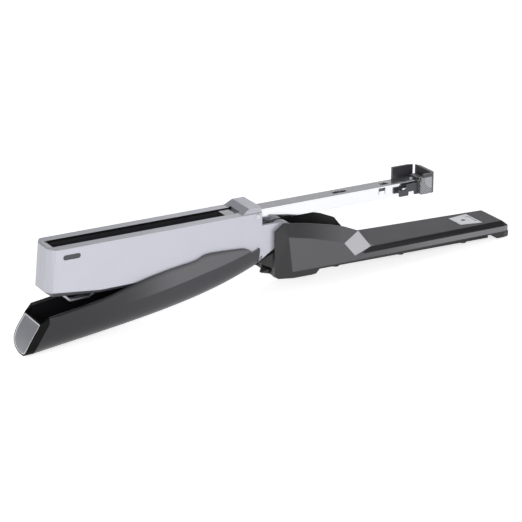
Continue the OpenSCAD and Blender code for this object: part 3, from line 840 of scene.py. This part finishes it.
class STAPLER_OT_head_works(StaplerOperator):
    """Channel, striker, lever and springs inside the head"""

    bl_idname = "stapler.head_works"
    bl_label = "Head works"

    def execute(self, context):
        coat(
            magazine_channel="blackened_steel",
            power_spring="spring_wire",
            spring_clamp="zinc",
            striker_bumper="rubber",
            trip_lever="zinc",
            striker="bright_steel",
            housing_screws="zinc",
            handle_pin="zinc",
            lever_pin="zinc",
        )
        return {"FINISHED"}


class STAPLER_OT_handle(StaplerOperator):
    """Moulded handle, open underneath, with its rib"""

    bl_idname = "stapler.handle"
    bl_label = "Handle"

    def execute(self, context):
        piece = new_piece(
            "handle_skin", "handle", HANDLE_FINISHES, handle_skin_mesh(), ["handle_shell"]
        )
        wall = piece.modifiers.new("Wall", "SOLIDIFY")
        wall.thickness = WALL * MM
        wall.offset = -1
        wall.use_even_offset = True
        wall.material_offset = INNER_SHIFT
        coat(handle_rib="plain_black")
        return {"FINISHED"}


class STAPLER_OT_end_plate(StaplerOperator):
    """Grey plate with a raised lip in the handle's front end"""

    bl_idname = "stapler.end_plate"
    bl_label = "End plate"

    def execute(self, context):
        mesh = end_plate_mesh(sizes().lip_width, sizes().lip_height)
        new_piece("end_plate", "handle", PLATE_FINISHES, mesh, ["handle_insert"])
        return {"FINISHED"}


class STAPLER_OT_handle_coil(StaplerOperator):
    """Coil spring between the head and the handle"""

    bl_idname = "stapler.handle_coil"
    bl_label = "Handle spring"

    def execute(self, context):
        low, high = place_in(HEAD, *HANDLE_COIL_FOOT), place_in(HEAD, *HANDLE_COIL_HEAD)
        radius, wire = HANDLE_COIL_RADIUS * MM, sizes().handle_wire
        mesh = coil("handle_coil", low, high, radius, wire, sizes().handle_turns)
        piece = new_piece("handle_coil", "head", ["spring_wire"], mesh, ["handle_spring"])
        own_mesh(piece)
        return {"FINISHED"}


class STAPLER_OT_rail(StaplerOperator):
    """Chromed staple rail with its rivet and guide rod"""

    bl_idname = "stapler.rail"
    bl_label = "Rail"

    def execute(self, context):
        coat(pusher_rail="rail_chrome_and_shade", rail_rivets="zinc", guide_rod="spring_wire")
        return {"FINISHED"}


class STAPLER_OT_rail_end(StaplerOperator):
    """Black end cap of the rail and the release tab with its claw"""

    bl_idname = "stapler.rail_end"
    bl_label = "Rail end"

    def execute(self, context):
        coat(end_cap="cap_black", release_tab="claw_grey")
        return {"FINISHED"}


class STAPLER_OT_pusher(StaplerOperator):
    """Staple pusher and its long coil on the guide rod"""

    bl_idname = "stapler.pusher"
    bl_label = "Pusher"

    def execute(self, context):
        coat(pusher="bright_steel")
        back, front = place_in(RAIL, *PUSHER_COIL_BACK), place_in(RAIL, *PUSHER_COIL_FRONT)
        radius, wire = PUSHER_COIL_RADIUS * MM, sizes().pusher_wire
        mesh = coil("pusher_coil", back, front, radius, wire, sizes().pusher_turns, 2, 6, 14)
        piece = new_piece("pusher_coil", "rail", ["spring_wire"], mesh, ["pusher_spring"])
        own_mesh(piece)
        return {"FINISHED"}


class STAPLER_OT_stage(StaplerOperator):
    """Pale floor, soft studio lights and the camera"""

    bl_idname = "stapler.stage"
    bl_label = "Stage"

    def execute(self, context):
        scene = context.scene
        corners = [(-1, -1), (1, -1), (1, 1), (-1, 1)]
        points = [(x * FLOOR_HALF, y * FLOOR_HALF, -FLOOR_DROP) for x, y in corners]
        floor_mesh = mesh_of("floor", points, [(0, 1, 2, 3)], Matrix.Identity(4))
        floor = bpy.data.objects.new("floor", floor_mesh)
        scene.collection.objects.link(floor)
        paper = moulded("floor_paper", colours().floor, 0.9, 0.8, 0.002, 0.003, specular=0.1)
        glow = paper.node_tree.nodes["Principled BSDF"].inputs
        glow["Emission Color"].default_value = (1, 1, 1, 1)
        glow["Emission Strength"].default_value = FLOOR_GLOW
        floor_mesh.materials.append(paper)

        world = bpy.data.worlds.new("studio")
        world.use_nodes = True
        tree = world.node_tree
        sky = tree.nodes.new("ShaderNodeTexCoord")
        split = tree.nodes.new("ShaderNodeSeparateXYZ")
        ramp = tree.nodes.new("ShaderNodeValToRGB")
        for element, position, tone in zip(ramp.color_ramp.elements, (0.05, 0.75), (HORIZON, ZENITH)):
            element.position = position
            element.color = tone
        tree.links.new(sky.outputs["Generated"], split.inputs["Vector"])
        tree.links.new(split.outputs["Z"], ramp.inputs["Fac"])
        tree.links.new(ramp.outputs["Color"], tree.nodes["Background"].inputs["Color"])
        scene.world = world

        for name, (place, side, power) in LIGHTS.items():
            light = bpy.data.lights.new(name, "AREA")
            light.shape = "SQUARE"
            light.size = side
            light.energy = power
            lamp = bpy.data.objects.new(name, light)
            lamp.location = place
            lamp.rotation_euler = (-Vector(place)).to_track_quat("-Z", "Y").to_euler()
            scene.collection.objects.link(lamp)

        place = Vector(CAMERA_PLACE)
        look = (Vector(CAMERA_AIM) - place).to_track_quat("-Z", "Y").to_matrix().to_4x4()
        lens = bpy.data.cameras.new("camera")
        lens.lens = CAMERA_LENS
        lens.sensor_width = 36
        lens.clip_start = 0.01
        camera = bpy.data.objects.new("camera", lens)
        roll = Matrix.Rotation(math.radians(CAMERA_ROLL), 4, "Z")
        camera.matrix_world = Matrix.Translation(place) @ look @ roll
        scene.collection.objects.link(camera)
        scene.camera = camera
        scene.view_settings.view_transform = "Standard"
        return {"FINISHED"}


class STAPLER_PT_build(bpy.types.Panel):
    """Lists the build steps of the stapler"""

    bl_idname = "STAPLER_PT_build"
    bl_label = "Desktop stapler"
    bl_space_type = "VIEW_3D"
    bl_region_type = "UI"
    bl_category = "Stapler"

    def draw(self, context):
        for operator in OPERATORS:
            self.layout.operator(operator.bl_idname)


OPERATORS = (
    STAPLER_OT_base_shell,
    STAPLER_OT_base_pad,
    STAPLER_OT_anvil,
    STAPLER_OT_base_hardware,
    STAPLER_OT_housing,
    STAPLER_OT_nose,
    STAPLER_OT_head_works,
    STAPLER_OT_handle,
    STAPLER_OT_end_plate,
    STAPLER_OT_handle_coil,
    STAPLER_OT_rail,
    STAPLER_OT_rail_end,
    STAPLER_OT_pusher,
    STAPLER_OT_stage,
)
CLASSES = (StaplerSizes, StaplerColours, *OPERATORS, STAPLER_PT_build)


def register():
    for cls in CLASSES:
        bpy.utils.register_class(cls)
    bpy.types.Scene.stapler_sizes = PointerProperty(type=StaplerSizes)
    bpy.types.Scene.stapler_colours = PointerProperty(type=StaplerColours)


def unregister():
    del bpy.types.Scene.stapler_colours
    del bpy.types.Scene.stapler_sizes
    for cls in reversed(CLASSES):
        bpy.utils.unregister_class(cls)


def main():
    register()
    for operator in OPERATORS:
        group, step = operator.bl_idname.split(".")
        getattr(getattr(bpy.ops, group), step)()


if __name__ == "__main__":
    main()
